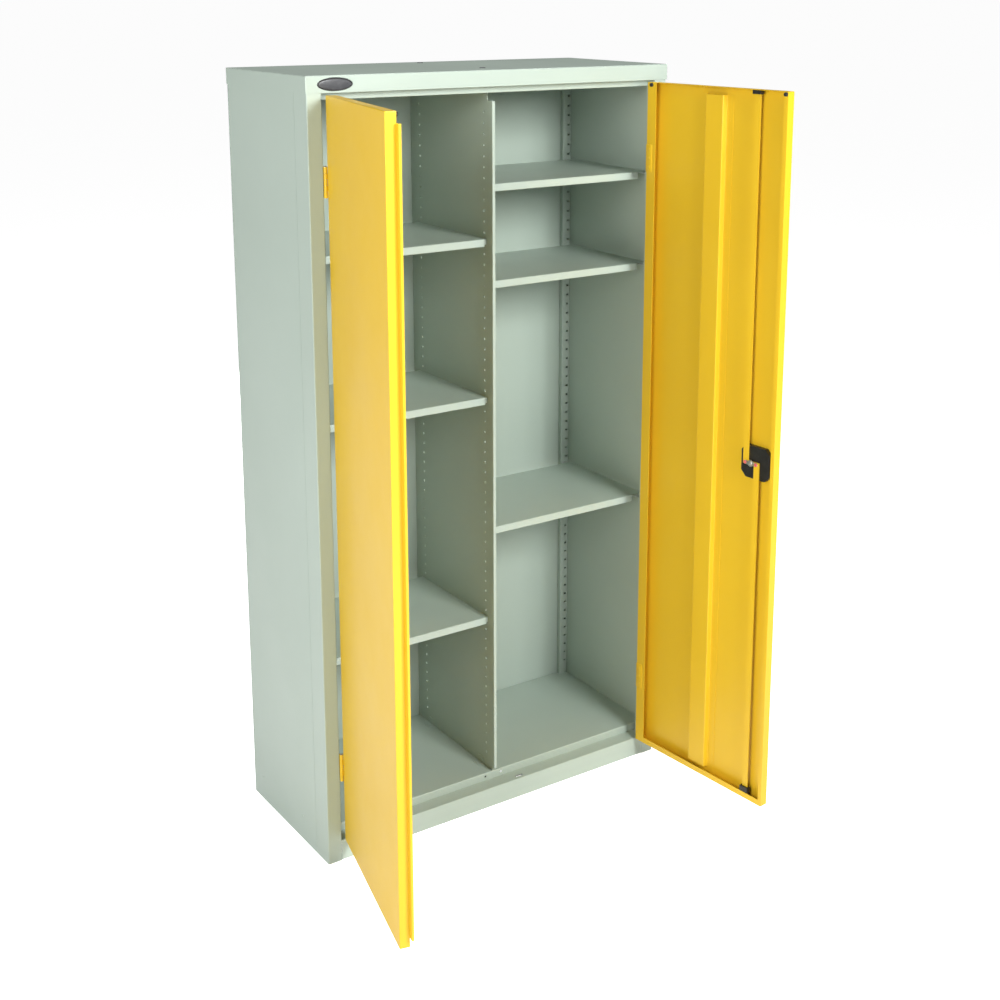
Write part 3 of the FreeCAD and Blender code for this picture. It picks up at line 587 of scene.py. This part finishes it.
def rivet_heads():
    bm = bmesh.new()
    y = BACK + 0.0012
    for x in (-SIDE + RIVET_INSET, SIDE - RIVET_INSET):
        for i in range(RIVETS):
            turned_y(bm, x, RIVET_Z0 + i * RIVET_PITCH, [
                (0.0032, y), (0.0031, y + 0.0004), (0.0025, y + 0.0009), (0.0014, y + 0.0011),
                (0.0013, y + 0.0006)], 24)
    piece("rivet_heads", bm, "bright_steel", "cabinet", ("back_rivets",))


def bumpers(side):
    """Ribbed rubber stops at the top of a door's side lips."""
    s = -1 if side == "left" else 1
    bm = bmesh.new()
    y = FRONT + DOOR_DEPTH[side]
    reach = BUFFER_END_Y - y
    for x in BUFFER_X:
        turned_y(bm, s * x, DOOR_Z[1] - 0.006, [
            (0.0045, y), (0.0045, y + reach * 0.42), (0.0041, y + reach * 0.50),
            (0.0041, y + reach * 0.58), (0.0045, y + reach * 0.66), (0.0044, y + reach * 0.85),
            (0.0037, y + reach * 0.98), (0.0020, y + reach)], 32)
    piece("bumpers_" + side, bm, "rubber", side + "_door", ("buffers_" + side,), side)


def weld_marks(side):
    """Rows of spot-weld marks on the stiffener's flanges, painted over."""
    s = -1 if side == "left" else 1
    bm = bmesh.new()
    y = FRONT + 0.002
    for dx in (-STIFF_W - 0.0085, STIFF_W + 0.0085):
        for i in range(WELDS):
            z = WELD_Z0 + i * WELD_PITCH
            turned_y(bm, s * STIFF_X + dx, z, [
                (0.0036, y - 0.00005), (0.0034, y + 0.00025), (0.0027, y + 0.00032),
                (0.0022, y + 0.00012)], 24)
    piece("weld_marks_" + side, bm, "door_paint", side + "_door", (), side)


lock_bezel()
lock_screw_heads()
tee_handle()
barrel()
cam_set()
pins_piece()
badge()
cap_buttons()
rivet_heads()
for leaf in ("left", "right"):
    bumpers(leaf)
    weld_marks(leaf)


# ---- studio ------------------------------------------------------------------------------
def studio():
    """Floor and surround: white to the camera, with a weaker glow as light on the object."""
    bm = bmesh.new()
    bmesh.ops.create_circle(bm, cap_ends=True, radius=FLOOR_RADIUS, segments=96)
    floor = new_object("studio_floor", bm)
    mat = bpy.data.materials.new("studio_floor")
    mat.use_nodes = True
    shader = mat.node_tree.nodes["Principled BSDF"]
    shader.inputs["Base Color"].default_value = (0.90, 0.90, 0.90, 1.0)
    shader.inputs["Roughness"].default_value = 0.9
    shader.inputs["Emission Color"].default_value = (1.0, 1.0, 1.0, 1.0)
    glow = mat.node_tree.nodes.new("ShaderNodeMapRange")
    glow.inputs["To Min"].default_value = FLOOR_GLOW
    glow.inputs["To Max"].default_value = FLOOR_SEEN
    eye = mat.node_tree.nodes.new("ShaderNodeLightPath")
    mat.node_tree.links.new(eye.outputs["Is Camera Ray"], glow.inputs["Value"])
    mat.node_tree.links.new(glow.outputs["Result"], shader.inputs["Emission Strength"])
    dress(floor, mat)
    world = bpy.data.worlds.new("studio")
    world.use_nodes = True
    tree = world.node_tree
    ground = tree.nodes["Background"]
    ground.inputs["Color"].default_value = (1.0, 1.0, 1.0, 1.0)
    ground.inputs["Strength"].default_value = AMBIENT
    seen = tree.nodes.new("ShaderNodeBackground")
    seen.inputs["Color"].default_value = (1.0, 1.0, 1.0, 1.0)
    seen.inputs["Strength"].default_value = BACKDROP
    path = tree.nodes.new("ShaderNodeLightPath")
    mix = tree.nodes.new("ShaderNodeMixShader")
    tree.links.new(path.outputs["Is Camera Ray"], mix.inputs["Fac"])
    tree.links.new(ground.outputs["Background"], mix.inputs[1])
    tree.links.new(seen.outputs["Background"], mix.inputs[2])
    tree.links.new(mix.outputs["Shader"], tree.nodes["World Output"].inputs["Surface"])
    SCENE.world = world


def area_light(name, place, target, size, power):
    data = bpy.data.lights.new(name, "AREA")
    data.shape = "RECTANGLE"
    data.size = data.size_y = size
    data.energy = power
    lamp = bpy.data.objects.new(name, data)
    lamp.location = place
    lamp.rotation_euler = (Vector(target) - Vector(place)).to_track_quat("-Z", "Y").to_euler()
    SCENE.collection.objects.link(lamp)


def camera():
    """Camera at the photograph's viewing angle."""
    ahead = Vector((math.sin(AZIMUTH) * math.cos(DOWN), math.cos(AZIMUTH) * math.cos(DOWN),
                    -math.sin(DOWN)))
    right = ahead.cross(Vector((0.0, 0.0, 1.0))).normalized()
    up = right.cross(ahead)
    right, up = (right * math.cos(ROLL) + up * math.sin(ROLL),
                 up * math.cos(ROLL) - right * math.sin(ROLL))
    data = bpy.data.cameras.new("camera")
    data.sensor_width = SENSOR_MM
    data.lens = LENS_MM
    data.shift_x, data.shift_y = SHIFT
    cam = bpy.data.objects.new("camera", data)
    SCENE.collection.objects.link(cam)
    turn = Matrix((right, up, -ahead)).transposed().to_4x4()
    cam.matrix_world = Matrix.Translation(CAMERA_AT) @ turn
    SCENE.camera = cam


studio()
for lamp in LAMPS:
    area_light(*lamp)
camera()
SCENE.view_settings.view_transform = "Standard"
